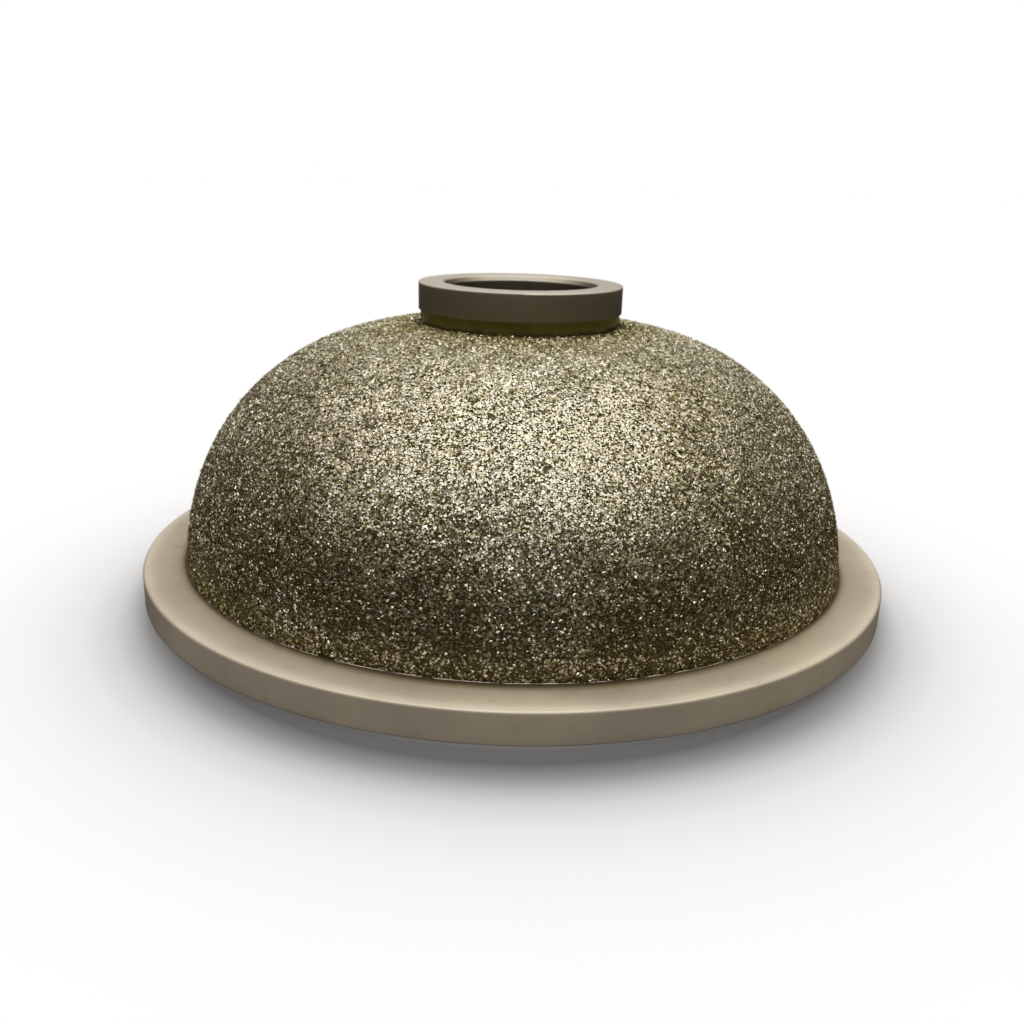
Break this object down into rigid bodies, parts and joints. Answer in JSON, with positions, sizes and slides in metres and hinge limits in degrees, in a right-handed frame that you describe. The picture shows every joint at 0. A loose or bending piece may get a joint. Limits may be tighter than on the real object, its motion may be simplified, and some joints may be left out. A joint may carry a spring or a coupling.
{
  "type": "diamond grinding wheel",
  "caption": "Convex diamond grinding wheel: hollow domed body with a plated grit coat on a flat round flange, a bored neck collar on top and a closed bolted back.",
  "frame": {"origin": "centre of the flange's underside, the plane the wheel stands on", "axes": "+Z along the spin axis, from the flange towards the neck collar; X and Y are equivalent, with the first screw of each circle on +X"},
  "size_m": [0.115, 0.115, 0.0456],
  "materials": {
    "flange_nickel": "satin champagne nickel plate on steel, fine turning marks, a few small nicks on the rim",
    "core_aluminium": "turned aluminium alloy, plated under the coat",
    "diamond_coat": "one layer of coarse diamond grit held in a dull olive nickel bond",
    "collar_nickel": "satin nickel plate on steel, circular brushing on the top face",
    "washer_steel": "dark oiled steel with an olive cast",
    "seal_rubber": "nitrile rubber",
    "hub_steel": "turned steel, oiled",
    "screw_steel": "plain stainless steel",
    "sleeve_bronze": "reamed bronze",
    "plate_aluminium": "faced aluminium alloy"
  },
  "bodies": {
    "root": {"base_flange": "flange_nickel", "dome_core": "core_aluminium", "diamond_layer": "diamond_coat", "neck_collar": "collar_nickel", "collar_washer": "washer_steel", "crown_seal": "seal_rubber", "lock_ring": "hub_steel", "lock_screw": "screw_steel", "bore_sleeve": "sleeve_bronze", "rear_hub": "hub_steel", "back_plate": "plate_aluminium", "plate_gasket": "seal_rubber", "hub_gasket": "seal_rubber", "flange_screws": "screw_steel", "plate_screws": "screw_steel", "hub_screws": "screw_steel", "dowel_pins": "hub_steel"}
  },
  "joints": []
}
